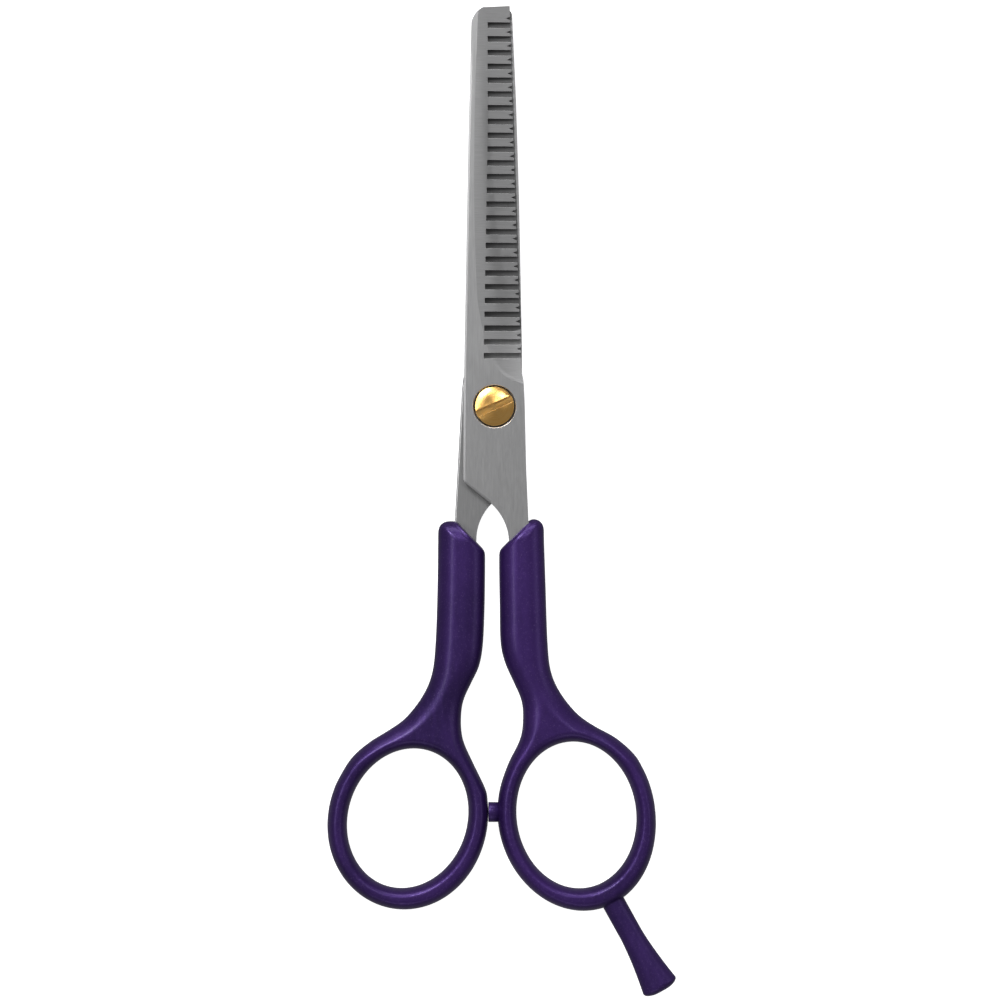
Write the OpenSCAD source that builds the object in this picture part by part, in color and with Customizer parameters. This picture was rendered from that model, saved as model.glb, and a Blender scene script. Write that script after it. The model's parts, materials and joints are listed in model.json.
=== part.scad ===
// Hair-thinning shears lying closed on a table: blade tips towards +Y, screw head up.
// Each blade, handle and fitting is drawn from the pivot axis at the height where the
// blades meet, then place() sets it in the frame: centre of the footprint, table at z = 0.

/* [Blades] */
// Distance from the pivot axis to the blade tips
reach = 73; // [72.5:0.1:76]
// Thickness of the steel of each blade
blade_t = 2; // [1.8:0.1:2.2]
// Gap between the two blades where they slide over each other
blade_gap = 0.1; // [0.06:0.02:0.2]
// Thickness left at the tips of the teeth
tooth_t = 0.8; // [0.6:0.1:1.2]
// Thickness left along the edge of the cutting blade
edge_t = 0.3; // [0.2:0.1:0.6]
// Distance from the pivot axis down to where the ground faces run out
runout_y = 4.3; // [4:0.1:5]

/* [Teeth] */
// Number of slots between the teeth
slots = 25; // [20:1:26]
// Distance from one slot to the next
slot_pitch = 2.51; // [2.4:0.01:2.52]
// Width of each slot
slot_w = 1.04; // [0.8:0.02:1.3]
// Distance from the pivot axis to the middle of the slot next to it
first_slot_y = 9.2; // [8.8:0.1:9.4]
// Depth of the small notch in the tip of each tooth
notch_depth = 0.75; // [0.4:0.05:0.9]
// Width of that notch at the tip
notch_w = 0.62; // [0.4:0.02:0.8]

/* [Pivot] */
// Diameter of the screw head
head_d = 7.2; // [6.8:0.1:7.4]
// Gap round the head in its counterbore
head_gap = 0.2; // [0.1:0.05:0.3]
// Diameter of the screw shank
shank_d = 3.4; // [3:0.1:4]
// Radial clearance of the shank in the blades and the nut
shank_clear = 0.04; // [0.02:0.01:0.08]
// Depth of the counterbore in the thinning blade
counterbore = 1; // [0.8:0.05:1.2]
// Height of the cone on the screw head
head_rise = 0.5; // [0.3:0.05:0.7]
// Width of the screwdriver slot
driver_w = 1.4; // [1:0.1:1.6]
// Depth of the screwdriver slot below the top of the cone
driver_depth = 0.8; // [0.6:0.1:0.9]
// Direction of the screwdriver slot, counter-clockwise from +X
driver_angle = 24; // [0:1:180]
// Thickness of the spring washer under the head
washer_t = 0.25; // [0.2:0.05:0.3]
// Distance across the flats of the lock nut
nut_af = 6; // [5.5:0.1:7]

/* [Handles] */
// Thickness of the handles, which sets the height of the whole tool
handle_t = 6.6; // [6.4:0.1:7]
// How far the rounding of the handles' edges reaches in from their outline
round_w = 1.55; // [1.2:0.05:1.6]
// Width of the thumb ring's band
thumb_band = 3.62; // [3.5:0.02:4]
// Width of the finger ring's band
finger_band = 3.48; // [3.4:0.02:4]
// How much wider the thumb ring's band is at its foot
thumb_foot = 0.5; // [0:0.1:0.8]
// How much wider the finger ring's band is where the finger rest plugs in
finger_foot = 0.9; // [0.6:0.1:1.2]
// Width of the hole in the thumb ring
thumb_hole_w = 21.7; // [21:0.1:22]
// Length of the hole in the thumb ring
thumb_hole_l = 25.8; // [25:0.1:26]
// Width of the hole in the finger ring
finger_hole_w = 21.8; // [21:0.1:22]
// Length of the hole in the finger ring
finger_hole_l = 26.8; // [26:0.1:27]
// Length of each blade's tang inside its handle
tang_l = 20; // [14:1:22]
// Clearance of a tang in its pocket
tang_clear = 0.05; // [0.02:0.01:0.1]

/* [Finger rest and bumper] */
// Length of the finger rest outside the ring
rest_l = 18.2; // [17:0.1:19]
// Width of the finger rest at its free end
rest_w = 7.2; // [6:0.1:7.6]
// Diameter of the bumper between the rings
bumper_d = 3.65; // [3:0.05:4]
// Diameter of the stems that hold the finger rest and the bumper in the ring
stem_d = 2; // [1.6:0.1:2.4]
// Length of those stems
stem_l = 2.4; // [1:0.1:2.6]

/* [Hidden] */
$fn = 96;
mid_z = handle_t / 2;         // height of the plane where the blades meet
pivot_at = [-1.4, 17.25];     // the pivot axis, from the centre of the footprint
face_z = blade_gap / 2;       // inner face of a blade, from the meeting plane
back_z = face_z + blade_t;    // outer face of a blade
floor_z = back_z - counterbore;
over = 0.01;                  // how far cutters reach past a face
stem_clear = 0.05;            // clearance of the stems in their sockets
layers = 8;                   // layers of facets over the rounding of a handle
steel = [0.56, 0.56, 0.56];
brass = [0.84, 0.64, 0.28];
purple = [0.21, 0.12, 0.36];

// each ring: centre of its hole from the pivot axis, width and length of the hole, lean of
// its long axis from +Y, width of the band, and how much wider it gets in which direction
thumb_ring = [[-15.83, -75.13], thumb_hole_w, thumb_hole_l, -18, thumb_band, thumb_foot, -62];
finger_ring = [[14.95, -74.53], finger_hole_w, finger_hole_l, 7, finger_band, finger_foot, -62];

// edge of each handle from the mouth down to its ring, on the outer side, then from the
// ring back up to the mouth on the side that faces the other handle
thumb_outer = [[-10.3, -24], [-10.4, -33], [-10.75, -43], [-11.4, -48.7], [-13.1, -52.8],
               [-16.15, -56.75], [-19.2, -59], [-22.9, -61.3], [-26.15, -64.2]];
thumb_inner = [[-4.05, -64.7], [-5.7, -60.9], [-6.1, -57.4], [-5.7, -53.8], [-4.2, -50.4],
               [-2.8, -47.4], [-2.1, -43.5], [-1.8, -37], [-1.7, -30], [-1.7, -24]];
finger_outer = [[9.05, -24], [9.35, -33], [9.7, -43], [10.3, -48.3], [12, -52.2],
                [15, -55.95], [18.1, -58.2], [22.15, -60.45], [25.5, -63.4]];
finger_inner = [[2.75, -64.6], [4.7, -60.6], [5.2, -57], [4.9, -53.6], [3.4, -50.1],
                [1.9, -46.7], [1.1, -43], [0.95, -36], [0.85, -30], [0.85, -24]];
thumb_top = -20.9;            // highest point of the thumb handle
finger_top = -20.5;           // highest point of the finger handle
top_r = 1.8;                  // radius of their corners

rest_root = [21.8, -90.67];   // middle of the finger rest where it meets the ring
rest_angle = -61;             // its direction, counter-clockwise from +X
bumper_at = [-1.02, -74];     // free end of the bumper
bumper_l = 1.5;               // its length between the two rings

function arc(c, r, a0, a1, n = 12) =
    [for (i = [0:n]) let (a = a0 + (a1 - a0) * i / n) c + r * [cos(a), sin(a)]];

// the list p with n points on each span of a smooth curve through its own points
function smooth(p, n = 4) =
    let (last = len(p) - 1)
    [for (i = [0:last - 1], k = [0:n - (i < last - 1 ? 1 : 0)])
        let (u = k / n, a = p[max(0, i - 1)], b = p[i], c = p[i + 1], d = p[min(last, i + 2)])
        0.5 * (2 * b + (c - a) * u + (2 * a - 5 * b + 4 * c - d) * u * u
               + (3 * b - a - 3 * c + d) * u * u * u)];

function reversed(p) = [for (i = [len(p) - 1:-1:0]) p[i]];

// the closed counter-clockwise outline p moved in by d and set at height z
function inset(p, d, z) =
    let (n = len(p))
    [for (i = [0:n - 1])
        let (t = p[(i + 1) % n] - p[(i + n - 1) % n], q = p[i] + d * [-t.y, t.x] / norm(t))
        [q.x, q.y, z]];

// a closed skin over a list of loops stacked upwards, capped at both ends
module skin(loops) {
    n = len(loops[0]);
    top = len(loops) - 1;
    walls = [for (i = [0:top - 1], k = [0:n - 1])
        let (a = i * n + k, b = i * n + (k + 1) % n)
        each [[a, a + n, b + n], [a, b + n, b]]];
    polyhedron(points = [for (l = loops) each l],
               faces = concat(walls, [[for (k = [0:n - 1]) k]],
                              [[for (k = [n - 1:-1:0]) top * n + k]]));
}

module place() {
    translate([pivot_at.x, pivot_at.y, mid_z]) children();
}

// ---------------------------------------------------------------- blades

// x of the tips of the teeth at height y: a line that bows in by bow
function teeth_x(y) =
    let (u = (y - first_slot_y) / (reach - first_slot_y), bow = 0.17)
    4.87 - 2.07 * u - 4 * bow * u * (1 - u);

// x of the closed ends of the slots at height y
function slot_end_x(y) = -1.95 + 0.7 * min(1, (y - first_slot_y) / 40);

module thinning_outline() {
    polygon(concat(
        [for (y = [reach, 60, 45, 30, 18, first_slot_y - 1]) [teeth_x(y), y]],
        [[5, 6.2], [5.35, runout_y], [5.5, 1.2], [5.8, -11.6], [6.2, -21],
         [6.9, -25.5], [6.9, -22 - tang_l]],
        [[3.5, -22 - tang_l], [2.65, -25.2]],
        arc([-7.15, -25], 9.8, 0, 46),
        arc([-4.65, -13.2], 1, 228, 180, 6),
        [[-5.6, 3], [-5.15, 28], [-4.8, 47]],
        arc([-0.3, reach - 3.85], 4, 168, 117),
        [[0, reach - 0.15]]));
}

module cutting_outline() {
    polygon(concat(
        arc([1.75, reach - 1.8], 1.5, 90, 0, 6),
        [[3.95, 56], [4.5, 38], [5, 12], [5.05, 6], [5.3, -2], [5.3, -12.8], [4.9, -13.7]],
        arc([6, -24.4], 9.3, 135, 180),
        [[-3.3, -25.2], [-4, -22 - tang_l]],
        [[-7.6, -22 - tang_l], [-7.8, -25.5], [-7.25, -20.9], [-6.3, -4.3], [-5.93, 3],
         [-5.5, 6.8], [-4.7, 9], [-4.2, 40]],
        arc([-1, reach - 3.2], 2, 180, 90, 8),
        [[0, reach - 0.6]]));
}

// the steel that grinding takes off above a plane through line a-b at height top, which
// falls by drop over the distance run to the right of that line
module ground(a, b, top, drop, run) {
    d = b - a;
    translate([a.x, a.y, top])
        rotate([0, 0, atan2(d.y, d.x)]) rotate([atan(drop / run), 0, 0])
            translate([-50, -30, 0]) cube([200, 60, 10]);
}

// area of the thinning blade that is ground away towards the teeth
module thinning_ground_area() {
    polygon(concat(
        [[-3.1, reach + 1], [-3.7, 41], [-3.1, 19.4]],
        [for (x = [-2.6:0.8:7.8]) [x, runout_y - 0.5 + 15.6 * exp(-0.44 * (x + 3.1))]],
        [[8, reach + 1]]));
}

module slot(y) {
    translate([slot_end_x(y), y - slot_w / 2, 0]) cube([9, slot_w, back_z + 1]);
}

module notch(y) {
    translate([teeth_x(y), y, 0]) linear_extrude(back_z + 1)
        polygon([[-notch_depth, 0], [0.2, -0.6 * notch_w], [0.2, 0.6 * notch_w]]);
}

module thinning_blade() {
    color(steel) place() difference() {
        translate([0, 0, face_z]) linear_extrude(blade_t) thinning_outline();
        intersection() {
            linear_extrude(back_z + 1) thinning_ground_area();
            ground([-3.6, 0], [-3.6, 70], back_z, blade_t - tooth_t, 7.2);
        }
        for (i = [0:slots - 1]) slot(first_slot_y + i * slot_pitch);
        for (i = [0:slots - 1]) notch(first_slot_y + (i + 0.5) * slot_pitch);
        cylinder(d = shank_d + 2 * shank_clear, h = back_z + 1);
        translate([0, 0, floor_z]) cylinder(d = head_d + 2 * head_gap, h = counterbore + 1);
    }
}

module cutting_blade() {
    color(steel) place() mirror([0, 0, 1]) difference() {
        translate([0, 0, face_z]) linear_extrude(blade_t) cutting_outline();
        intersection() {
            translate([-20, runout_y + 1, 0]) cube([40, 100, back_z + 1]);
            ground([1.5, 80], [1.5, 0], back_z, blade_t - edge_t, 5.5);
        }
        cylinder(d = shank_d + 2 * shank_clear, h = back_z + 1);
    }
}

// ---------------------------------------------------------------- pivot

module pivot_screw() {
    rim_z = floor_z + washer_t + 0.04;
    color(brass) place() difference() {
        union() {
            translate([0, 0, -mid_z + 0.1]) cylinder(d = shank_d, h = mid_z + rim_z);
            translate([0, 0, rim_z]) cylinder(d = head_d, h = back_z - rim_z);
            translate([0, 0, back_z]) cylinder(d1 = head_d, d2 = 0.6, h = head_rise);
        }
        rotate([0, 0, driver_angle])
            translate([-head_d, -driver_w / 2, back_z + head_rise - driver_depth])
                cube([2 * head_d, driver_w, 2]);
    }
}

module spring_washer() {
    color([0.16, 0.15, 0.15]) place() translate([0, 0, floor_z + 0.02]) difference() {
        cylinder(d = head_d - 0.1, h = washer_t);
        translate([0, 0, -1]) cylinder(d = shank_d + 0.2, h = washer_t + 2);
    }
}

module lock_nut() {
    nut_t = mid_z - back_z;
    color(brass) place() translate([0, 0, -mid_z]) difference() {
        cylinder(d = nut_af / cos(30), h = nut_t, $fn = 6);
        translate([0, 0, -1]) cylinder(d = shank_d + 2 * shank_clear, h = nut_t + 2);
    }
}

// ---------------------------------------------------------------- handles

// part of a ring from angle a0 to a1: the edge of its hole moved out by the share k of
// the band's width
function ring_arc(ring, k, a0, a1, n) =
    [for (i = [0:n])
        let (a = a0 + (a1 - a0) * i / n, w = ring[1], l = ring[2], lean = ring[3],
             band = ring[4] + ring[5] * pow(max(0, cos(a + lean - ring[6])), 3),
             normal = [cos(a) / w, sin(a) / l] / norm([cos(a) / w, sin(a) / l]),
             p = [w / 2 * cos(a), l / 2 * sin(a)] + k * band * normal)
        ring[0] + [p.x * cos(lean) - p.y * sin(lean), p.x * sin(lean) + p.y * cos(lean)]];

thumb_outline = concat(
    arc([thumb_inner[9].x - top_r, thumb_top - top_r], top_r, 0, 90, 6),
    arc([thumb_outer[0].x + top_r, thumb_top - top_r], top_r, 90, 180, 6),
    smooth(thumb_outer),
    ring_arc(thumb_ring, 1, 166, 402, 44),
    smooth(thumb_inner));
finger_outline = reversed(concat(
    arc([finger_inner[9].x + top_r, finger_top - top_r], top_r, 180, 90, 6),
    arc([finger_outer[0].x - top_r, finger_top - top_r], top_r, 90, 0, 6),
    smooth(finger_outer),
    ring_arc(finger_ring, 1, 30, -215, 44),
    smooth(finger_inner)));

// a plate of the outline p whose edges are rounded, grown by grow on every side
module pillow(p, grow = 0) {
    skin([for (i = [0:layers])
        let (a = -90 + 180 * i / layers)
        inset(p, round_w * (1 - cos(a)) - grow, (handle_t / 2 + grow) * sin(a))]);
}

// the finger hole with rounded edges, to be cut from the plate
module finger_hole(p) {
    skin(concat(
        [inset(p, -round_w, -handle_t)],
        [for (i = [0:layers])
            let (a = -90 + 180 * i / layers)
            inset(p, -round_w * (1 - cos(a)), (handle_t / 2 + over) * sin(a))],
        [inset(p, -round_w, handle_t)]));
}

// what is cut off above the slanted mouth where a blade leaves its handle
module mouth(from, to) {
    d = to - from;
    translate([from.x, from.y, -10]) rotate([0, 0, atan2(d.y, d.x)])
        translate([-20, 0, 0]) cube([40, 20, 20]);
}

module tang_pocket(z) {
    translate([0, 0, z - tang_clear]) linear_extrude(blade_t + 2 * tang_clear)
        offset(delta = tang_clear) children();
}

module thumb_handle() {
    color(purple) place() resize([0, 0, handle_t]) difference() {
        pillow(thumb_outline);
        finger_hole(ring_arc(thumb_ring, 0, 0, 355, 71));
        mouth([-6.95, -20.9], [-2.15, -25.9]);
        tang_pocket(-back_z) cutting_outline();
    }
}

module finger_handle() {
    color(purple) place() resize([0, 0, handle_t]) difference() {
        pillow(finger_outline);
        finger_hole(ring_arc(finger_ring, 0, 0, 355, 71));
        mouth([1.4, -25.75], [6.2, -20.9]);
        tang_pocket(face_z) thinning_outline();
        stem(rest_root, rest_angle, stem_l + 0.2, stem_d + 2 * stem_clear);
        stem(bumper_at, 180, bumper_l + stem_l + 0.2, stem_d + 2 * stem_clear);
    }
}

// a round stem from 1 mm in front of the point at to l behind it, seen along angle
module stem(at, angle, l, d) {
    translate([at.x, at.y, 0]) rotate([0, 0, angle]) rotate([0, -90, 0])
        translate([0, 0, -1]) cylinder(d = d, h = l + 1, $fn = 24);
}

// cross-section of the finger rest at the distance x from the ring: it flares towards
// its free end, where the edge is rounded
function rest_section(x) =
    let (u = max(0, x - 6) / (rest_l - 6), v = max(0, x - rest_l + 1.2) / 1.2,
         half_w = 2.1 + (rest_w / 2 - 2.1) * pow(u, 1.6), end = sqrt(1 - 0.8 * v * v))
    [for (a = [0:18:342]) [half_w * end * cos(a), (2 + 0.6 * u) * end * sin(a), x]];

function stem_section(x) = [for (a = [0:18:342]) [stem_d / 2 * cos(a), stem_d / 2 * sin(a), x]];

module finger_rest() {
    color(purple) place() translate([rest_root.x, rest_root.y, 0])
        rotate([0, 0, rest_angle + 90]) rotate([90, 0, 0]) skin(concat(
            [for (x = [-stem_l, 0]) stem_section(x)],
            [for (x = [0, 1, 2, 4.5, 7, 9, 11, 13, 15]) rest_section(x)],
            [for (v = [0:0.2:1]) rest_section(rest_l - 1.2 + 1.2 * v)]));
}

module bumper() {
    color(purple) place() translate([bumper_at.x, bumper_at.y, 0]) rotate([0, 90, 0]) {
        cylinder(d = bumper_d, h = bumper_l);
        cylinder(d = stem_d, h = bumper_l + stem_l);
    }
}

cutting_blade();
thumb_handle();
lock_nut();
thinning_blade();
finger_handle();
finger_rest();
bumper();
pivot_screw();
spring_washer();
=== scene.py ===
"""Hair-thinning shears lying closed on a pale table, seen from straight above.

The handles, finger rest, bumper and screw are modelled here. The thinning blade is built over
the plan of its CAD solid, and the cutting blade is its CAD solid with its faces divided, so
that both have ground and brushed faces, edges painted light as a highlight, and slot walls
and hollows painted dark as shade. The washer and the nut stay CAD solids with a material.
Lengths are in millimetres from the pivot axis, at the height where the blades meet, until a mesh is
made.
"""
import json
import math

import bmesh
import bpy
import numpy as np
from mathutils import Matrix, Vector
from mathutils.geometry import delaunay_2d_cdt


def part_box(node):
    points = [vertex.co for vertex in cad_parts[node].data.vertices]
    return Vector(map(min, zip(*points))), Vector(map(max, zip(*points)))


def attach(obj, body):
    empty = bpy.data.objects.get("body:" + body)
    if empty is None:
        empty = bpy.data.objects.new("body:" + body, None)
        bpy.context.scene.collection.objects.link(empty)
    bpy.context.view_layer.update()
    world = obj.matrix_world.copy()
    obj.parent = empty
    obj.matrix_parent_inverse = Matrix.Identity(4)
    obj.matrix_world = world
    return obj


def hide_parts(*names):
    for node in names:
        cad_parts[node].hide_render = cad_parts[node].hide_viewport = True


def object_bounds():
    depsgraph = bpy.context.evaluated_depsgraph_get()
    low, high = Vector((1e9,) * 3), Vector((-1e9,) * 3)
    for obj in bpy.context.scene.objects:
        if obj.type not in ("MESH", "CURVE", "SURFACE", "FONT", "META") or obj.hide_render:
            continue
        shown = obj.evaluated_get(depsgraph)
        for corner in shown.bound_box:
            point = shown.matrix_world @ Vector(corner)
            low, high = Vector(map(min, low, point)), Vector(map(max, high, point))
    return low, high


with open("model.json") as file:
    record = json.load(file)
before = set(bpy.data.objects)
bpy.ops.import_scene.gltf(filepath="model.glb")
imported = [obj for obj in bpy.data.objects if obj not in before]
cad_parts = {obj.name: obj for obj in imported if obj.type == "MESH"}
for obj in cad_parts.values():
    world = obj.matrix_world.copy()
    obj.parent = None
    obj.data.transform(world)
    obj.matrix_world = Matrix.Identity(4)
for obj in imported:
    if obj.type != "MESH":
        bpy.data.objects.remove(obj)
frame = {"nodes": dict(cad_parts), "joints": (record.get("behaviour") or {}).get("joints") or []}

MM = 0.001
CAD_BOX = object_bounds()
PIVOT = Vector(next(j["pos_m"] for j in frame["joints"] if j["name"] == "blade_pivot"))
HANDLE_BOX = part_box("thumb_handle")
HALF_T = (HANDLE_BOX[1].z - HANDLE_BOX[0].z) / 2 / MM

# each ring: centre of its hole, width and length of the hole, lean of its long axis,
# width of its band, how much wider the band gets, and in which direction
THUMB_RING = ((-15.83, -75.13), 21.7, 25.8, -18, 3.62, 0.5, -62)
FINGER_RING = ((14.95, -74.53), 21.8, 26.8, 7, 3.48, 0.9, -62)
# angles where the free outer edge of each ring starts and ends
THUMB_SWEEP, FINGER_SWEEP = (170, 396), (26, -213)

# edges of the handles: down the outer side, then up the side that faces the other handle
THUMB_OUTER = [(-10.3, -24), (-10.4, -33), (-10.75, -43), (-11.4, -48.7), (-13.1, -52.8),
               (-16.15, -56.75), (-19.2, -59), (-22.9, -61.3), (-26.15, -64.2)]
THUMB_INNER = [(-4.05, -64.7), (-5.7, -60.9), (-6.1, -57.4), (-5.7, -53.8), (-4.2, -50.4),
               (-2.8, -47.4), (-2.1, -43.5), (-1.8, -37), (-1.7, -30), (-1.7, -24)]
FINGER_OUTER = [(9.05, -24), (9.35, -33), (9.7, -43), (10.3, -48.3), (12, -52.2),
                (15, -55.95), (18.1, -58.2), (22.15, -60.45), (25.5, -63.4)]
FINGER_INNER = [(2.75, -64.6), (4.7, -60.6), (5.2, -57), (4.9, -53.6), (3.4, -50.1),
                (1.9, -46.7), (1.1, -43), (0.95, -36), (0.85, -30), (0.85, -24)]
# upper ends of the handles with their rounding, and the slanting mouths where the blades enter
THUMB_TOP, FINGER_TOP, TOP_R = -20.9, -20.5, 1.8
THUMB_MOUTH = ((-6.95, -20.9), (-2.15, -25.9))
FINGER_MOUTH = ((1.4, -25.75), (6.2, -20.9))

# finger rest: its root, direction, length and greatest width; bumper: its end, length and width
REST_ROOT, REST_ANGLE, REST_L, REST_W = (21.8, -90.67), -61, 18.2, 7.2
BUMPER_AT, BUMPER_L, BUMPER_D = (-1.02, -74), 1.5, 3.65

# what the camera frames: the middle of the view and its width
VIEW_AT, VIEW_W = (0.83, -16.8), 182.1


# ------------------------------------------------------------------ outlines

def arc(centre, radius, start, end, steps=12):
    """Points on part of a circle."""
    a = np.radians(np.linspace(start, end, steps + 1))
    return np.array(centre) + radius * np.column_stack([np.cos(a), np.sin(a)])


def smooth(points, steps=10):
    """A smooth curve through the points."""
    p = np.array(points, float)
    p = np.vstack([p[0], p, p[-1]])
    u = np.linspace(0, 1, steps, endpoint=False)[:, None]
    spans = []
    for a, b, c, d in zip(p, p[1:], p[2:], p[3:]):
        spans.append(0.5 * (2 * b + (c - a) * u + (2 * a - 5 * b + 4 * c - d) * u ** 2
                            + (3 * b - a - 3 * c + d) * u ** 3))
    return np.vstack(spans + [p[-1:]])


def ring_arc(ring, share, start, end, steps=120):
    """Part of a ring: the edge of its hole moved out by a share of the band's width."""
    centre, width, length, lean, band, foot, foot_at = ring
    a = np.radians(np.linspace(start, end, steps + 1))
    turn = math.radians(lean)
    axes = np.array([width / 2, length / 2])
    unit = np.column_stack([np.cos(a), np.sin(a)])
    normal = unit / axes
    normal /= np.linalg.norm(normal, axis=1)[:, None]
    swell = np.clip(np.cos(a + turn - math.radians(foot_at)), 0, None) ** 3
    p = unit * axes + share * (band + foot * swell)[:, None] * normal
    spin = np.array([[math.cos(turn), math.sin(turn)], [-math.sin(turn), math.cos(turn)]])
    return np.array(centre) + p @ spin


def clip(loop, a, b):
    """The part of a closed loop that lies to the right of the line from a to b."""
    side = across(loop, a, b)
    kept = []
    for i, p in enumerate(loop):
        q, s, t = loop[(i + 1) % len(loop)], side[i], side[(i + 1) % len(loop)]
        if s >= 0:
            kept.append(p)
        if s * t < 0:
            kept.append(p + (q - p) * s / (s - t))
    return np.array(kept)


def across(points, a, b):
    """Distance of each point to the right of the line from a to b."""
    a, b = np.array(a, float), np.array(b, float)
    d = (b - a) / np.linalg.norm(b - a)
    r = points - a
    return r[:, 0] * d[1] - r[:, 1] * d[0]


def resample(loop, step, rounds=0):
    """A closed loop with points about a step apart, its corners eased by some rounds."""
    closed = np.vstack([loop, loop[:1]])
    run = np.r_[0, np.cumsum(np.linalg.norm(np.diff(closed, axis=0), axis=1))]
    s = np.linspace(0, run[-1], int(run[-1] / step), endpoint=False)
    p = np.column_stack([np.interp(s, run, closed[:, 0]), np.interp(s, run, closed[:, 1])])
    for _ in range(rounds):
        p = (np.roll(p, 1, 0) + 2 * p + np.roll(p, -1, 0)) / 4
    return p


def divided(loop, step):
    """A closed loop with points added along every side that is longer than a step."""
    return np.vstack([np.linspace(a, b, 1 + int(np.linalg.norm(b - a) / step), endpoint=False)
                      for a, b in zip(loop, np.roll(loop, -1, 0))])


def inset(loop, d):
    """A counter-clockwise loop moved in by d."""
    t = np.roll(loop, -1, 0) - np.roll(loop, 1, 0)
    t /= np.linalg.norm(t, axis=1)[:, None]
    return loop + d * np.column_stack([-t[:, 1], t[:, 0]])


def distance(points, loop):
    """Distance of each point from a closed loop."""
    a, d = loop, np.roll(loop, -1, 0) - loop
    result = np.empty(len(points))
    for i in range(0, len(points), 2000):
        r = points[i:i + 2000, None] - a
        u = np.clip((r * d).sum(2) / (d * d).sum(1), 0, 1)
        result[i:i + 2000] = np.linalg.norm(r - u[..., None] * d, axis=2).min(1)
    return result


# ------------------------------------------------------------------ meshes

def piece(name, verts, faces, body, slot, materials, stands_for, at=(0, 0)):
    """A smooth piece from millimetre points round a place in the plan."""
    mesh = bpy.data.meshes.new(name)
    place = PIVOT + Vector((*at, 0)) * MM
    mesh.from_pydata([place + Vector(v) * MM for v in verts], [], [list(f) for f in faces])
    mesh.validate()
    bm = bmesh.new()
    bm.from_mesh(mesh)
    bmesh.ops.recalc_face_normals(bm, faces=bm.faces)
    bmesh.ops.delete(bm, geom=[v for v in bm.verts if not v.link_faces], context="VERTS")
    bm.to_mesh(mesh)
    bm.free()
    mesh.shade_smooth()
    return finish_piece(bpy.data.objects.new(name, mesh), body, materials, stands_for)


def finish_piece(obj, body, materials, stands_for):
    """Puts a piece in the scene with its materials, body and the node it stands for."""
    bpy.context.collection.objects.link(obj)
    for material in materials:
        obj.data.materials.append(material)
    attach(obj, body)
    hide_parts(stands_for)
    return obj


def dome(t):
    """Quarter-ellipse profile: 0 at the edge, 1 from t = 1 inwards."""
    return np.sqrt(1 - (1 - np.clip(t, 0, 1)) ** 2)


def ease(x, low, high):
    """0 up to low, 1 from high, and a smooth rise between them."""
    u = np.clip((x - low) / (high - low), 0, 1)
    return u * u * (3 - 2 * u)


# handle meshes: distances of the rows of quads from an edge, and the size of a face
EDGE_ROWS = [0, 0.015, 0.05, 0.11, 0.19, 0.29, 0.41, 0.55, 0.72, 0.92, 1.12]
STEP = 0.36
# how far the rounding reaches in from the edge of a ring, how much further on a shank, and
# the heights between which a ring turns into a shank
ROUND_W, SHANK_ROUND_W, SHANK_FROM, SHANK_TO = 2.1, 1.7, -68, -54
# rounded lip at the mouth where the blade enters, and the faint groove behind it
LIP_W, GROOVE_AT, GROOVE_W, GROOVE_DEPTH = 0.32, 0.62, 0.13, 0.05
# share by which the narrower rings are raised, so that they are as thick as the shanks
RING_CROWN = 0.06


def handle_height(p, outline, hole, mouth):
    """Half the thickness of a handle at each point."""
    shank = ease(p[:, 1], SHANK_FROM, SHANK_TO)
    edge = dome(distance(p, outline) / (ROUND_W + SHANK_ROUND_W * shank))
    bore = dome(distance(p, hole) / ROUND_W)
    past_mouth = across(p, *mouth)
    groove = GROOVE_DEPTH * np.exp(-((past_mouth - GROOVE_AT) / GROOVE_W) ** 2)
    lip = dome(past_mouth / LIP_W) * (1 - groove)
    crown = 1 / (1 - RING_CROWN * (1 - shank))
    return HALF_T * np.minimum(edge * bore * lip * crown, 1)


def edge_rows(loop, first):
    """Rows of points in from a loop, numbered from the first, and the quads between them."""
    n = len(loop)
    quads = [(at + k, at + (k + 1) % n, at + n + (k + 1) % n, at + n + k)
             for at in range(first, first + (len(EDGE_ROWS) - 1) * n, n) for k in range(n)]
    return np.vstack([inset(loop, d) for d in EDGE_ROWS]), quads


def middle_net(points, rims):
    """Triangles over the points from the number `rims[1].stop` up and between two rims."""
    ids = [*rims[0], *rims[1], *range(rims[1].stop, len(points))]
    local = {k: i for i, k in enumerate(ids)}
    sides = [(local[a], local[b]) for rim in rims for a, b in zip(rim, [*rim[1:], rim[0]])]
    net = delaunay_2d_cdt([Vector(points[k]) for k in ids], sides, [], 0, 1e-6)
    faces = [tuple(ids[net[3][v][0]] for v in face) for face in net[2]]
    return [f for f in faces if not any(set(rim).issuperset(f) for rim in rims)]


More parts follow.
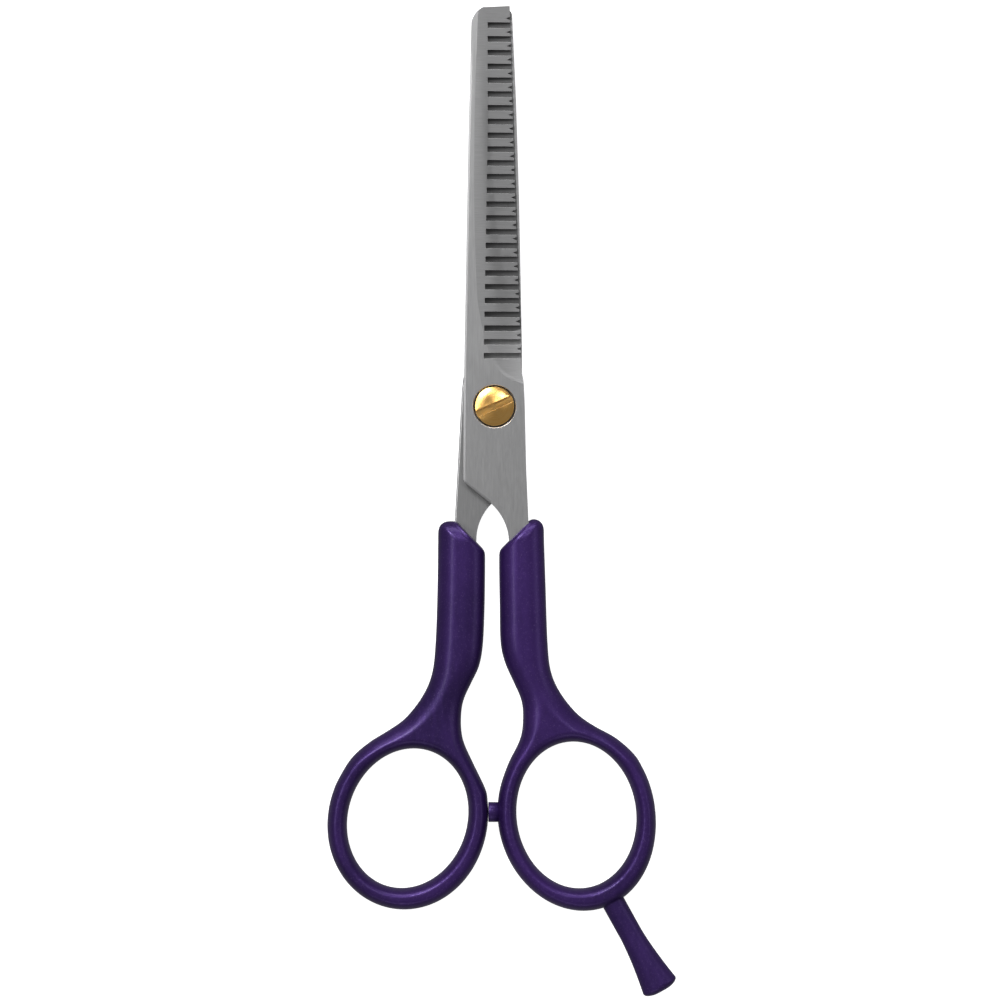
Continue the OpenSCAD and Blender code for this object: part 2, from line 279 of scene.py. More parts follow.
def handle(name, outline, ring, mouth, body, stands_for):
    """A moulded handle: rows of quads round its edges and a fine net between them, the
    same on the top and the underside."""
    edge = inset(resample(outline, STEP), 0.01)
    cut = resample(clip(edge, *mouth), STEP, rounds=4)
    hole = resample(ring_arc(ring, 0, 360, 0), STEP)
    cut_rows, cut_quads = edge_rows(cut, 0)
    hole_rows, hole_quads = edge_rows(hole, len(cut_rows))

    low, high = cut.min(0), cut.max(0)
    xs, ys = np.arange(low[0], high[0], STEP), np.arange(low[1], high[1], STEP * 0.87)
    grid = np.array([(x + STEP / 2 * (j % 2), y) for j, y in enumerate(ys) for x in xs])
    room = np.minimum(distance(grid, cut), distance(grid, hole)) > EDGE_ROWS[-1] + STEP / 2
    grid = grid[room & inside(grid, cut) & ~inside(grid, hole)]
    points = np.vstack([cut_rows, hole_rows, grid])
    ends = len(cut_rows), len(cut_rows) + len(hole_rows)
    rims = range(ends[0] - len(cut), ends[0]), range(ends[1] - len(hole), ends[1])
    upper = cut_quads + hole_quads + middle_net(points, rims)

    z = handle_height(points, edge, hole, mouth)
    z[:len(cut)] = 0
    z[ends[0]:ends[0] + len(hole)] = 0
    under = np.where(z == 0, 0, len(points)) + np.arange(len(points))
    verts = np.vstack([np.column_stack([points, z]), np.column_stack([points, -z])])
    faces = upper + [tuple(int(under[k]) for k in reversed(f)) for f in upper]
    piece(name, verts, faces, body, "handle_plastic", [PURPLE], stands_for)


def inside(points, loop):
    """Whether each point is inside a closed loop."""
    x, y = points[:, :1], points[:, 1:]
    ax, ay = loop[:, 0], loop[:, 1]
    bx, by = np.roll(ax, -1), np.roll(ay, -1)
    with np.errstate(divide="ignore", invalid="ignore"):
        cross = ((ay > y) != (by > y)) & (x < ax + (bx - ax) * (y - ay) / (by - ay))
    return cross.sum(1) % 2 == 1


def loft(sections):
    """Points and faces of a skin over stacked loops of equal length, capped at both ends."""
    n = len(sections[0])
    verts = np.vstack(sections)
    faces = [(i * n + k, i * n + (k + 1) % n, (i + 1) * n + (k + 1) % n, (i + 1) * n + k)
             for i in range(len(sections) - 1) for k in range(n)]
    faces += [tuple(range(n)), tuple(range(len(verts) - n, len(verts)))]
    return verts, faces


def turned(profile, n):
    """A solid of revolution about Z from (radius, height) points."""
    a = np.linspace(0, 2 * math.pi, n, endpoint=False)
    return loft([np.column_stack([r * np.cos(a), r * np.sin(a), np.full(n, z)])
                 for r, z in profile])


def groove_mesh(size, centre, turn, taper):
    """A block to cut a groove with, its lower side narrower by the taper."""
    bm = bmesh.new()
    bmesh.ops.create_cube(bm, size=1)
    for v in bm.verts:
        v.co.y *= 1 if v.co.z > 0 else taper
    bmesh.ops.scale(bm, vec=Vector(size) * MM, verts=bm.verts)
    bm.transform(Matrix.Rotation(turn, 4, "Z"))
    bmesh.ops.translate(bm, vec=PIVOT + Vector(centre) * MM, verts=bm.verts)
    mesh = bpy.data.meshes.new("cutter")
    bm.to_mesh(mesh)
    bm.free()
    return mesh


def carve(obj, cutter_mesh):
    """Cuts a cutter's shape out of a piece for good."""
    cutter = bpy.data.objects.new("cutter", cutter_mesh)
    bpy.context.collection.objects.link(cutter)
    cut = obj.modifiers.new("cut", "BOOLEAN")
    cut.object, cut.operation, cut.solver = cutter, "DIFFERENCE", "EXACT"
    graph = bpy.context.evaluated_depsgraph_get()
    mesh = bpy.data.meshes.new_from_object(obj.evaluated_get(graph))
    obj.modifiers.clear()
    obj.data = mesh
    bpy.data.objects.remove(cutter)


def soften(obj, width, angle, edge_material):
    """Small rounded edges wherever two faces meet at more than the angle."""
    bevel = obj.modifiers.new("edges", "BEVEL")
    bevel.width, bevel.segments = width * MM, 2
    bevel.limit_method, bevel.angle_limit = "ANGLE", math.radians(angle)
    bevel.harden_normals = True
    bevel.material = edge_material


# ------------------------------------------------------------------ materials

class Shader:
    """A node material on one Principled shader, with object coordinates in millimetres."""

    def __init__(self, name, **sockets):
        self.material = bpy.data.materials.new(name)
        self.material.use_nodes = True
        self.tree = self.material.node_tree
        self.surface = self.tree.nodes["Principled BSDF"]
        for key, value in sockets.items():
            self.surface.inputs[key.replace("_", " ")].default_value = value
        self.coords = self.tree.nodes.new("ShaderNodeTexCoord").outputs["Object"]

    def node(self, kind, inputs=None, **settings):
        made = self.tree.nodes.new("ShaderNode" + kind)
        for key, value in settings.items():
            setattr(made, key, value)
        for key, value in (inputs or {}).items():
            if isinstance(value, bpy.types.NodeSocket):
                self.tree.links.new(value, made.inputs[key])
            else:
                made.inputs[key].default_value = value
        return made

    def scaled(self, scale):
        """Coordinates with `scale` cycles a millimetre along each axis."""
        return self.node("Mapping", {"Vector": self.coords,
                                     "Scale": [c / MM for c in scale]}).outputs["Vector"]

    def noise(self, scale, detail=3.0, rough=0.55):
        return self.node("TexNoise", {"Vector": self.scaled(scale), "Scale": 1.0,
                                      "Detail": detail, "Roughness": rough}).outputs["Fac"]

    def cells(self, scale):
        """Cells with a random colour each."""
        return self.node("TexVoronoi", {"Vector": self.scaled(scale), "Scale": 1.0})

    def spread(self, value, low, high, start=0.3, stop=0.7):
        """A value from start to stop spread over low to high."""
        return self.node("MapRange", {"Value": value, "From Min": start, "From Max": stop,
                                      "To Min": low, "To Max": high}).outputs["Result"]

    def blend(self, amount, a, b):
        """Colour a mixed with an amount of colour b."""
        made = self.node("Mix", data_type="RGBA")
        for socket, value in zip((made.inputs[0], made.inputs[6], made.inputs[7]),
                                 (amount, a, b)):
            if isinstance(value, bpy.types.NodeSocket):
                self.tree.links.new(value, socket)
            else:
                socket.default_value = value
        return made.outputs[2]

    def bump(self, height, strength, depth, normal=None):
        """A normal with relief of a depth in millimetres, over another one if given."""
        made = self.node("Bump", {"Height": height, "Strength": strength,
                                  "Distance": depth * MM})
        if normal:
            self.tree.links.new(normal, made.inputs["Normal"])
        return made.outputs["Normal"]

    def link(self, value, socket):
        self.tree.links.new(value, self.surface.inputs[socket])


def grey(v):
    return (v, v, v, 1)


def pearl_plastic(name, dark, mid):
    """Purple plastic with pearl flake: a broad violet sheen that breaks into sparkle."""
    s = Shader(name, Metallic=0.6, Coat_Weight=0.16, Coat_Roughness=0.2, IOR=1.45,
               Specular_IOR_Level=0.3)
    cloud = s.noise((0.05, 0.05, 0.05), detail=4)
    flow = s.noise((0.9, 0.12, 0.9), detail=3)
    cells = s.cells((6, 6, 6))
    colour = s.blend(s.spread(cloud, 0, 1), dark, mid)
    colour = s.blend(s.spread(flow, 0, 0.35), colour, mid)
    spark = s.spread(cells.outputs["Color"], 0, 0.1, 0.75, 1.0)
    s.link(s.blend(spark, colour, (0.4, 0.26, 0.62, 1)), "Base Color")
    s.link(s.spread(s.noise((1.6, 1.6, 1.6)), 0.34, 0.46), "Roughness")
    grain = s.bump(s.noise((4, 4, 4), detail=2), 0.15, 0.012)
    flakes = s.bump(cells.outputs["Color"], 0.4, 0.012, grain)
    s.link(flakes, "Normal")
    s.link(flakes, "Coat Normal")
    return s.material


def brushed(name, base, grain, rough, strength=0.3, tint=(1, 1, 1.01)):
    """Brushed metal: the lines lie along the axis with the fewest cycles in `grain`."""
    def tone(k):
        return (*(base * k * t for t in tint), 1)

    s = Shader(name, Metallic=1.0)
    lines = s.noise(grain, detail=4, rough=0.6)
    fine = s.noise([g * 2.7 for g in grain], detail=3)
    cloud = s.noise((0.12, 0.07, 0.1), detail=4)
    colour = s.blend(s.spread(lines, 0, 1), tone(0.9), tone(1.08))
    s.link(s.blend(s.spread(cloud, 0, 0.3), colour, tone(0.88)), "Base Color")
    s.link(s.spread(fine, rough - 0.05, rough + 0.06), "Roughness")
    s.link(s.bump(fine, strength, 0.008, s.bump(lines, strength, 0.012)), "Normal")
    return s.material


def turned_brass(name):
    """Brass with the fine rings that turning leaves."""
    s = Shader(name, Metallic=1.0, Anisotropic=0.7)
    apart = s.node("SeparateXYZ", {"Vector": s.scaled((1, 1, 1))})
    x = s.node("Math", {0: apart.outputs[0], 1: PIVOT.x / MM}, operation="SUBTRACT")
    y = s.node("Math", {0: apart.outputs[1], 1: PIVOT.y / MM}, operation="SUBTRACT")
    flat = s.node("CombineXYZ", {0: x.outputs[0], 1: y.outputs[0]})
    radius = s.node("VectorMath", {0: flat.outputs[0]}, operation="LENGTH")
    lines = s.node("TexNoise", {"W": radius.outputs["Value"], "Scale": 7.0, "Detail": 3.0},
                   noise_dimensions="1D").outputs["Fac"]
    cloud = s.noise((0.6, 0.6, 0.6))
    colour = s.blend(s.spread(lines, 0, 1), (0.84, 0.45, 0.11, 1), (0.97, 0.62, 0.23, 1))
    s.link(s.blend(s.spread(cloud, 0, 0.4), colour, (0.7, 0.34, 0.07, 1)), "Base Color")
    s.link(s.spread(cloud, 0.18, 0.26), "Roughness")
    s.link(s.bump(lines, 0.3, 0.012), "Normal")
    s.link(s.node("Tangent", direction_type="RADIAL", axis="Z").outputs[0], "Tangent")
    return s.material


def blackened(name):
    """Steel with a dull dark coat."""
    s = Shader(name, Metallic=0.8)
    cloud = s.noise((2, 2, 2), detail=4)
    s.link(s.blend(s.spread(cloud, 0, 1), grey(0.03), grey(0.09)), "Base Color")
    s.link(s.spread(cloud, 0.4, 0.55), "Roughness")
    s.link(s.bump(cloud, 0.2, 0.01), "Normal")
    return s.material


PURPLE = pearl_plastic("handle_pearl", (0.021, 0.0085, 0.066, 1), (0.048, 0.018, 0.135, 1))
REST_PURPLE = pearl_plastic("rest_pearl", (0.026, 0.011, 0.08, 1), (0.055, 0.022, 0.15, 1))
# brushing across the blades and along them
ACROSS, ALONG = (0.3, 8, 1), (7, 0.25, 1)
GROUND_STEEL = brushed("ground_steel", 0.28, ACROSS, 0.42)
SPINE_STEEL = brushed("spine_steel", 0.34, ALONG, 0.4)
# edges and the counterbore's chamfer are painted light: painted highlight
HIGHLIGHT_EDGE_STEEL = brushed("edge_painted_highlight_steel", 0.65, ALONG, 0.3, strength=0.15)
INNER_STEEL = brushed("inner_steel", 0.29, ALONG, 0.4)
# hollow face of the cutting blade is painted dark: painted shade
SHADED_HOLLOW_STEEL = brushed("hollow_face_painted_shade_steel", 0.135, ALONG, 0.33)
# walls of the teeth's slots and of the counterbore are painted dark: painted shade
SHADED_WALL_STEEL = brushed("slot_wall_painted_shade_steel", 0.12, ALONG, 0.5)
BRASS = turned_brass("turned_brass")
# edges of the screw's head and slot are painted light: painted highlight
HIGHLIGHT_RIM_BRASS = brushed("brass_edge_painted_highlight", 0.9, (3, 3, 3), 0.3, tint=(1, 0.72, 0.36))
DARK_STEEL = blackened("blackened_steel")


# ------------------------------------------------------------------ blades

def steel_mesh(bm, name, choose, spine=lambda at: False):
    """The bmesh as a mesh with its flat faces joined, its faces sorted by finish and by painted
    light or shade, and its edges marked for easing: fully along the spine, a little elsewhere."""
    bm.normal_update()
    for f in bm.faces:
        f.material_index = choose(f.normal, (f.calc_center_median() - PIVOT) / MM)
    bmesh.ops.dissolve_limit(bm, angle_limit=math.radians(0.4), verts=bm.verts,
                             edges=bm.edges, delimit={"MATERIAL"})
    weight = bm.edges.layers.float.new("bevel_weight_edge")
    for e in bm.edges:
        if len(e.link_faces) == 2 and e.calc_face_angle() > math.radians(25):
            middle = (e.verts[0].co + e.verts[1].co) / 2 - PIVOT
            e[weight] = 1.0 if spine(middle / MM) else 0.15
    for f in bm.faces:
        f.smooth = True
    mesh = bpy.data.meshes.new(name)
    bm.to_mesh(mesh)
    bm.free()
    mesh.set_sharp_from_angle(angle=math.radians(8))
    return mesh


def blade(mesh, node, body, materials, width=0.2, segments=2):
    """A blade's piece, its marked edges rounded and in the last of its materials, painted light as
    a highlight.
    """
    obj = finish_piece(bpy.data.objects.new(mesh.name, mesh), body, materials, node)
    bevel = obj.modifiers.new("edges", "BEVEL")
    bevel.width, bevel.segments, bevel.limit_method = width * MM, segments, "WEIGHT"
    bevel.harden_normals = True
    bevel.use_clamp_overlap = False
    bevel.material = len(materials) - 1
    return obj


def plan(node, z):
    """The closed loops, in millimetres from the pivot, of a CAD node's flat face at z."""
    mesh = frame["nodes"][node].data
    co = [(v.co - PIVOT) / MM for v in mesh.vertices]
    keys = [(round(p.x, 3), round(p.y, 3)) for p in co]
    after = {}
    for f in mesh.polygons:
        ring = [keys[v] for v in f.vertices]
        if all(abs(co[v].z - z) < 0.002 for v in f.vertices):
            for a, b in zip(ring, ring[1:] + ring[:1]):
                if b in after.get(a, set()):
                    continue
                if a in after.get(b, set()):
                    after[b].discard(a)
                else:
                    after.setdefault(a, set()).add(b)
    loops = []
    left = {a: set(b) for a, b in after.items() if b}
    while left:
        loop = [next(iter(sorted(left)))]
        while left.get(loop[-1]):
            step = left[loop[-1]].pop()
            if not left[loop[-1]]:
                del left[loop[-1]]
            if step == loop[0]:
                break
            loop.append(step)
        loops.append(np.array(loop))
    return sorted(loops, key=len)[::-1]


def plate(loops, lines, points, top, bottom):
    """A solid over a plan: closed loops round it, lines where its upper face bends, more
    points on that face, its height at any point, and the height of its flat underside."""
    at, edges = [], []
    for line, closed in [(l, True) for l in loops] + lines:
        first = len(at)
        at += [tuple(p) for p in line]
        edges += [(first + k, first + k + 1) for k in range(len(line) - 1)]
        if closed:
            edges.append((len(at) - 1, first))
    at += [tuple(p) for p in points]
    net = delaunay_2d_cdt([Vector(p) for p in at], edges, [], 0, 1e-5)
    xy = np.array([tuple(v) for v in net[0]])
    mids = np.array([xy[list(f)].mean(0) for f in net[2]])
    solid = inside(mids, loops[0])
    for loop in loops[1:]:
        solid &= ~inside(mids, loop)
    bm = bmesh.new()
    upper = [bm.verts.new(PIVOT + Vector((*p, z)) * MM) for p, z in zip(xy, top(xy))]
    lower = [bm.verts.new(PIVOT + Vector((*p, bottom)) * MM) for p in xy]
    below = dict(zip(upper, lower))
    faces = [f for f, keep in zip(net[2], solid) if keep]
    for f in faces:
        bm.faces.new([upper[v] for v in f])
    for a, b in [(e.verts[0], e.verts[1]) for e in bm.edges if e.is_boundary]:
        bm.faces.new([a, b, below[b], below[a]])
    for f in faces:
        bm.faces.new([lower[v] for v in reversed(f)])
    bmesh.ops.delete(bm, geom=[v for v in bm.verts if not v.link_faces], context="VERTS")
    bmesh.ops.recalc_face_normals(bm, faces=bm.faces)
    return bm


# thinning blade: heights of its inner face and its back, and how far its tip reaches
blade_low, blade_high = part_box("thinning_blade")
FACE_Z, BACK_Z = (blade_low.z - PIVOT.z) / MM, (blade_high.z - PIVOT.z) / MM
REACH = (blade_high.y - PIVOT.y) / MM
# counterbore for the screw's head, with a chamfer painted light as a highlight, and its walls and
# floor painted dark as shade
HEAD_HOLE_R, HEAD_HOLE_DEPTH, HOLE_CHAMFER = 3.86, 1.0, 0.12

# the ground face slopes down to the teeth and ends below on a falling curve: the height of
# that curve's foot, its rise, how fast it falls, and where it meets the crease
GRIND_SLOPE = 1.2 / 7.2
RUNOUT_FOOT, RUNOUT_RISE, RUNOUT_FALL, RUNOUT_X = 3.8, 15.6, 0.44, -3.1
RUNOUT_TOP = RUNOUT_FOOT + RUNOUT_RISE
# it starts at the curve with a small step, and the rest of its depth comes on a long ramp
STEP_SHARE, RUNOUT_STEP, RUNOUT_RAMP = 0.1, 0.45, 15
# the crease is a shallow bow: where it is furthest out, how far its ends come in, and how long
# its upper part is
CREASE_X, CREASE_Y, CREASE_BOW, CREASE_SPAN = -3.7, 41, 0.6, 28
# the back leans away from the crease and has a rounded rim; the lean sets in over the first
# stretch along the blade and the rim ends over the second
BACK_SLOPE, RIM_W, RIM_DROP = 0.024, 0.36, 0.075
LEAN_START, RIM_END = (2, 12), (60, 68)

# cutting blade: line of the flat beside its edge, and lower end of its hollow inner face, which is
# painted dark as shade
HONE_X, HONE_LEAN = 5.3, 0.0333
HOLLOW_Y, HOLLOW_LEAN = 12.9, 0.25


def crease_x(y):
    """Where the flat back of the thinning blade turns into its ground face."""
    above, below = (y - CREASE_Y) / CREASE_SPAN, (CREASE_Y - y) / (CREASE_Y - RUNOUT_TOP)
    return CREASE_X + CREASE_BOW * np.where(y > CREASE_Y, above, below) ** 2


def runout_y(x):
    """Lower end of the ground face."""
    return RUNOUT_FOOT + RUNOUT_RISE * np.exp(-RUNOUT_FALL * (x - RUNOUT_X))


def on_back(x, y):
    """Whether a point is on the side of the thinning blade away from its teeth."""
    return (x < -2.6) | (y < -10) & (x < -0.6)


def thinning_top(p, outline):
    """Height of the thinning blade's upper face at each point."""
    x, y = p[:, 0], p[:, 1]
    past = y - runout_y(x)
    slope = -RUNOUT_FALL * (runout_y(x) - RUNOUT_FOOT)
    away = past / np.sqrt(1 + slope ** 2)
    edge = crease_x(np.clip(y, RUNOUT_TOP, None))
    ground = np.where((past > -1e-4) & (x > RUNOUT_X - 0.05) | (y > RUNOUT_TOP),
                      np.clip(GRIND_SLOPE * (x - edge), 0, None), 0)
    rise = ground * (STEP_SHARE * np.clip(1 - away / RUNOUT_STEP, 0, 1)
                     + (1 - STEP_SHARE) * np.clip(1 - away / RUNOUT_RAMP, 0, 1) ** 1.3)
    back = BACK_SLOPE * np.clip(edge - x, 0, None) * ease(y, *LEAN_START)
    rim = np.where(on_back(x, y), distance(p, outline), 1)
    z = BACK_Z - np.clip(ground - rise, 0, None) - back
    z -= RIM_DROP * np.clip(1 - rim / RIM_W, 0, 1) * (1 - ease(y, *RIM_END))
    out = np.hypot(x, y) - HEAD_HOLE_R
    z -= HOLE_CHAMFER * np.clip(1 - out / HOLE_CHAMFER, 0, 1)
    return np.where(out < -0.002, BACK_Z - HEAD_HOLE_DEPTH, z)


def ground_face_points(outline):
    """Points over the ground face, closest together where its run-out curves."""
    points = np.array([(x, y) for step, low, high in ((0.22, 3, 20), (0.4, 20.2, 54), (1.2, 54, 72))
                       for x in np.arange(-3.4, 6, step) for y in np.arange(low, high, step)])
    above = (points[:, 1] > runout_y(points[:, 0]) + 0.1) | (points[:, 1] > 20)
    points = points[above]
    return points[inside(points, outline) & (distance(points, outline) > 0.08)]


def rim_line(outline):
    """Inner edge of the rounded rim, along the side away from the teeth."""
    edge = resample(outline, 0.8)[::-1]
    back = on_back(edge[:, 0], edge[:, 1])
    start = np.flatnonzero(back & ~np.roll(back, 1))[0]
    return np.roll(inset(edge, RIM_W), -start, 0)[:back.sum()]


def thinning_blade():
    """The notched comb with its ground face, run-out, counterbore and rounded back."""
    loops = [divided(loop, 0.5) for loop in plan("thinning_blade", FACE_Z)]
    along = np.linspace(REACH + 1, RUNOUT_TOP, 55)
    over = np.linspace(RUNOUT_X, 6.5, 60)
    crease = np.vstack([np.column_stack([crease_x(along), along]),
                        np.column_stack([over, runout_y(over)])[1:]])
    step = np.column_stack([over, runout_y(over) + RUNOUT_STEP])
    rings = [arc((0, 0), HEAD_HOLE_R + d, 0, 360, 96)[:-1] for d in (HOLE_CHAMFER, 0, -0.004)]
    lines = [(line, False) for line in (crease, step, rim_line(loops[0]))]
    bm = plate(loops, lines + [(ring, True) for ring in rings], ground_face_points(loops[0]),
               lambda p: thinning_top(p, loops[0]), FACE_Z)
    mesh = steel_mesh(bm, "thinning_blade_steel", thinning_finish)
    blade(mesh, "thinning_blade", "thinning_half",
          [GROUND_STEEL, SPINE_STEEL, INNER_STEEL, SHADED_WALL_STEEL, HIGHLIGHT_EDGE_STEEL])


def thinning_finish(normal, at):
    """Place of a face's finish, or of its painted shade or highlight, in the list of the thinning
    blade's materials.
    """
    if normal.z < -0.9:
        return 2
    # inside the counterbore: the chamfer is painted light as a highlight, the walls and floor dark
    # as shade
    if math.hypot(at.x, at.y) < HEAD_HOLE_R + HOLE_CHAMFER:
        return 4 if normal.z > 0.5 and at.z > BACK_Z - 0.3 else 3
    if normal.z < 0.3:
        # walls of the slots between the teeth are painted dark as shade
        return 1 if at.x < -3 or at.y < 8 else 3
    return 0 if at.y > runout_y(at.x) and at.x > crease_x(at.y) else 1


def cutting_finish(normal, at):
    """Place of a face's finish, or of its painted shade, in the list of the cutting blade's
    materials.
    """
    if normal.z < 0.9:
        return 1
    if at.y > 0 and at.x > HONE_X - HONE_LEAN * at.y:
        return 3
    # the hollow face beyond this line is painted dark as shade
    return 2 if at.y > HOLLOW_Y + HOLLOW_LEAN * at.x else 0


def on_spine(at):
    """Whether an edge of the cutting blade is the one that shows beside the thinning blade."""
    return at.x < -4 and at.z > -1 and at.y < 8


def cutting_blade():
    """The straight blade, its inner face divided into ground flat, hollow and shank, the hollow
    painted dark as shade.
    """
    bm = bmesh.new()
    bm.from_mesh(frame["nodes"]["cutting_blade"].data)
    bmesh.ops.remove_doubles(bm, verts=bm.verts, dist=0.0005 * MM)
    for at, square_to in (((HONE_X, 0), (1, HONE_LEAN)), ((0, HOLLOW_Y), (-HOLLOW_LEAN, 1))):
        bmesh.ops.bisect_plane(bm, geom=bm.verts[:] + bm.edges[:] + bm.faces[:],
                               plane_co=PIVOT + Vector((*at, 0)) * MM,
                               plane_no=(*square_to, 0))
    mesh = steel_mesh(bm, "cutting_blade_steel", cutting_finish, on_spine)
    blade(mesh, "cutting_blade", "cutting_half",
          [INNER_STEEL, SPINE_STEEL, SHADED_HOLLOW_STEEL, GROUND_STEEL, HIGHLIGHT_EDGE_STEEL],
          width=0.26, segments=3)


# ------------------------------------------------------------------ outlines of the handles

thumb_outline = np.vstack([
    arc((THUMB_INNER[-1][0] - TOP_R, THUMB_TOP - TOP_R), TOP_R, 0, 90),
    arc((THUMB_OUTER[0][0] + TOP_R, THUMB_TOP - TOP_R), TOP_R, 90, 180),
    smooth(np.vstack([THUMB_OUTER, ring_arc(THUMB_RING, 1, *THUMB_SWEEP, 30), THUMB_INNER]))])
finger_outline = np.vstack([
    arc((FINGER_INNER[-1][0] + TOP_R, FINGER_TOP - TOP_R), TOP_R, 180, 90),
    arc((FINGER_OUTER[0][0] - TOP_R, FINGER_TOP - TOP_R), TOP_R, 90, 0),
    smooth(np.vstack([FINGER_OUTER, ring_arc(FINGER_RING, 1, *FINGER_SWEEP, 30), FINGER_INNER]))
])[::-1]


# ------------------------------------------------------------------ finger rest, bumper, screw

# finger rest: half width and half height of its stem, where it starts to flare, length of
# its rounded end, and how far it stays inside the CAD solid
STEM_W, STEM_H, FLARE_AT, REST_END, REST_PLAY = 2.1, 2, 6, 1.2, 0.02

# slot in the screw's head: width, depth, direction, and the share of its width at the bottom
SLOT_W, SLOT_DEPTH, SLOT_ANGLE, SLOT_TAPER = 1.4, 0.8, math.radians(24), 0.86


def rest_section(x, n=64):
    """Loop round the finger rest at a distance from the ring."""
    flare = max(0, x - FLARE_AT) / (REST_L - FLARE_AT)
    past = max(0, x - REST_L + REST_END) / REST_END
    end = math.sqrt(1 - 0.8 * past * past)
    half_w = STEM_W + (REST_W / 2 - STEM_W - REST_PLAY) * flare ** 1.6
    a = np.linspace(0, 2 * math.pi, n, endpoint=False)
    side, up = half_w * end * np.cos(a), (STEM_H + 0.6 * flare) * end * np.sin(a)
    turn = math.radians(REST_ANGLE)
    return np.column_stack([x * math.cos(turn) - side * math.sin(turn),
                            x * math.sin(turn) + side * math.cos(turn), up])


def finger_rest():
    """A stem that flares towards a rounded end."""
    rounded = REST_END * np.sin(np.linspace(0.1, math.pi / 2, 12))
    stations = np.r_[np.linspace(-1, REST_L - REST_END, 50),
                     REST_L - REST_END - REST_PLAY + rounded]
    piece("finger_rest_moulding", *loft([rest_section(x) for x in stations]), "thinning_half",
          "rest_plastic", [REST_PURPLE], "finger_rest", at=REST_ROOT)


def bumper():
    """A peg along X with a rounded rim towards the thumb's ring and a stem in the finger's."""
    r = BUMPER_D / 2
    profile = [(0.2, 0), (r / 2, -0.03), (r - 0.1, -0.1), (r, 0), (r, 0.3), (r, BUMPER_L + 0.5),
               (1, BUMPER_L + 0.6), (1, BUMPER_L + 2.4)]
    verts, faces = turned(profile, 64)
    piece("bumper_peg", verts[:, [2, 0, 1]], faces, "thinning_half", "bumper_plastic",
          [REST_PURPLE], "bumper", at=BUMPER_AT)


def tension_screw():
    """A slotted screw: a shallow cone for a head, a turned rim and a plain shank."""
    low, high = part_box("pivot_screw")
    head_r = (high.x - low.x) / 2 / MM
    top, bottom = (high.z - PIVOT.z) / MM, (low.z - PIVOT.z) / MM
    under_head = (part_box("spring_washer")[1].z - PIVOT.z) / MM + 0.02
    rim, shank_r = top - 0.5, 1.7
    verts, faces = turned([
        (0.1, bottom), (shank_r - 0.15, bottom), (shank_r, bottom + 0.15), (shank_r, under_head),
        (head_r - 0.1, under_head), (head_r, under_head + 0.1), (head_r, rim - 0.12),
        (head_r - 0.05, rim - 0.02), (head_r - 0.16, rim + 0.03), (head_r / 2, (rim + top) / 2),
        (0.4, top - 0.03), (0.15, top)], 128)
    screw = piece("tension_screw_head", verts, faces, "tension_screw", "screw_brass",
                  [BRASS, HIGHLIGHT_RIM_BRASS], "pivot_screw")
    slot = (3 * head_r, SLOT_W, 2 * SLOT_DEPTH)
    carve(screw, groove_mesh(slot, (0, 0, top), SLOT_ANGLE, SLOT_TAPER))
    screw.data.set_sharp_from_angle(angle=math.radians(30))
    # edges of the head and slot are painted light as a highlight
    soften(screw, 0.1, angle=40, edge_material=1)


thinning_blade()
cutting_blade()
handle("thumb_handle_moulding", thumb_outline, THUMB_RING, THUMB_MOUTH, "cutting_half",
       "thumb_handle")
handle("finger_handle_moulding", finger_outline, FINGER_RING, FINGER_MOUTH, "thinning_half",
       "finger_handle")
finger_rest()
bumper()
tension_screw()

for node, material in (("spring_washer", DARK_STEEL), ("lock_nut", BRASS)):
    for place in frame["nodes"][node].material_slots:
        place.material = material


# ------------------------------------------------------------------ table, light, camera

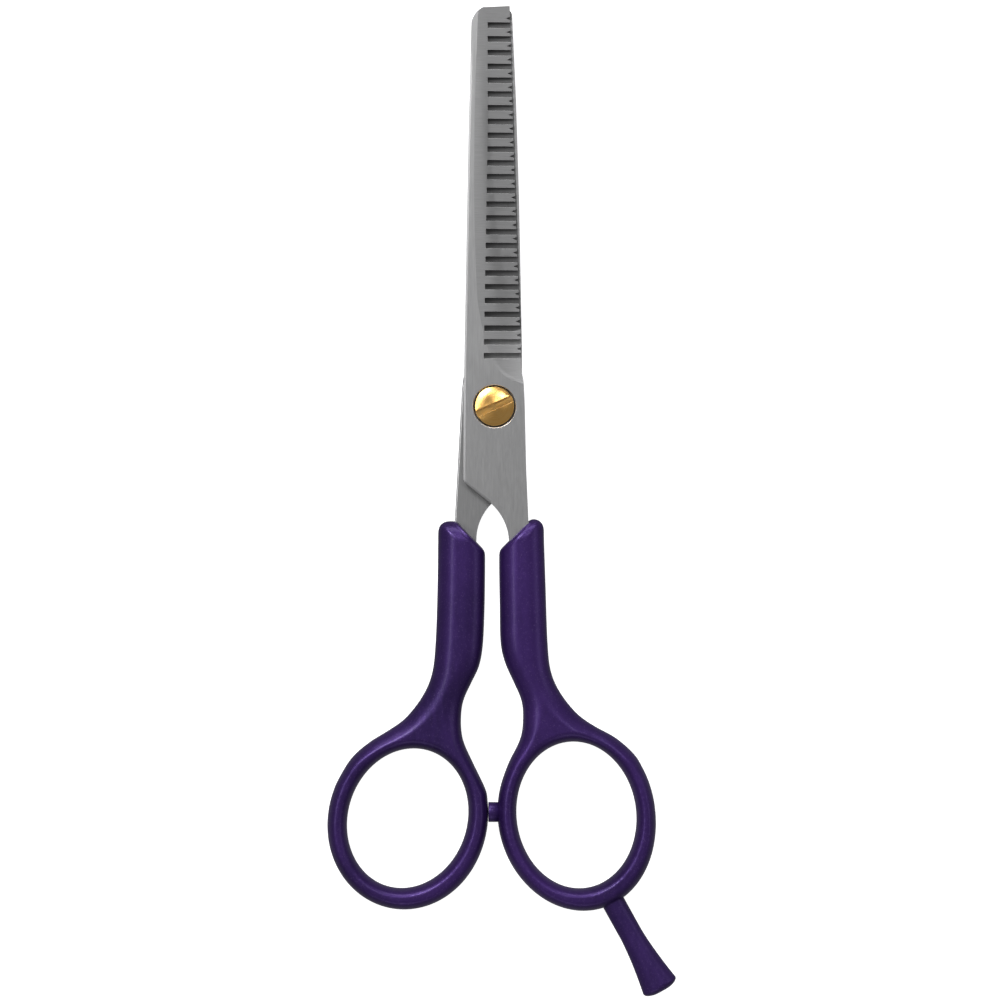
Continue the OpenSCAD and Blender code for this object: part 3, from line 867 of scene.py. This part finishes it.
def table(size):
    """A pale floor that gives off a little light but isn't mirrored in the metal."""
    bm = bmesh.new()
    bmesh.ops.create_grid(bm, x_segments=2, y_segments=2, size=12 * size)
    mesh = bpy.data.meshes.new("table")
    bm.to_mesh(mesh)
    bm.free()
    floor = bpy.data.objects.new("table", mesh)
    bpy.context.collection.objects.link(floor)
    white = bpy.data.materials.new("white_table")
    white.use_nodes = True
    surface = white.node_tree.nodes["Principled BSDF"]
    surface.inputs["Base Color"].default_value = grey(0.6)
    surface.inputs["Roughness"].default_value = 0.9
    surface.inputs["Emission Color"].default_value = grey(1)
    surface.inputs["Emission Strength"].default_value = 0.95
    mesh.materials.append(white)
    floor.visible_glossy = floor.visible_diffuse = False


def softbox(name, centre, size, azimuth, height, wide, tall, radiance):
    """A soft light aimed at the centre; azimuth is from +X, height above the table."""
    a, e = math.radians(azimuth), math.radians(height)
    way = Vector((math.cos(a) * math.cos(e), math.sin(a) * math.cos(e), math.sin(e)))
    data = bpy.data.lights.new(name, "AREA")
    data.shape, data.size, data.size_y = "RECTANGLE", wide * size, tall * size
    data.energy = radiance * math.pi * data.size * data.size_y
    light = bpy.data.objects.new(name, data)
    light.location = centre + way * 4 * size
    light.rotation_euler = (-way).to_track_quat("-Z", "Y").to_euler()
    bpy.context.collection.objects.link(light)


def camera(centre, size):
    """A long lens straight above."""
    cam = bpy.data.cameras.new("camera")
    cam.lens = 200
    cam.clip_end = 100 * size
    away = VIEW_W * MM * cam.lens / cam.sensor_width
    eye = bpy.data.objects.new("camera", cam)
    eye.location = centre + Vector((0, 0, PIVOT.z + away))
    bpy.context.collection.objects.link(eye)
    bpy.context.scene.camera = eye


def stage():
    """A pale floor, soft light from all round and the camera."""
    size = (CAD_BOX[1] - CAD_BOX[0]).length
    centre = Vector((PIVOT.x + VIEW_AT[0] * MM, PIVOT.y + VIEW_AT[1] * MM, 0))
    table(size)
    softbox("key_light", centre, size, 124, 54, 1.15, 1.15, 20)
    softbox("top_light", centre, size, 58, 66, 0.55, 0.55, 14)
    softbox("left_light", centre, size, 178, 58, 1.4, 0.6, 5.6)
    softbox("far_light", centre, size, 95, 25, 4, 1.6, 4)
    softbox("right_light", centre, size, 5, 30, 2.5, 1.4, 1)
    softbox("near_light", centre, size, 265, 30, 3, 1.4, 1)
    camera(centre, size)

    world = bpy.data.worlds.new("studio")
    world.use_nodes = True
    world.node_tree.nodes["Background"].inputs["Color"].default_value = grey(1)
    world.node_tree.nodes["Background"].inputs["Strength"].default_value = 0.25
    bpy.context.scene.world = world
    bpy.context.scene.view_settings.view_transform = "Standard"


stage()
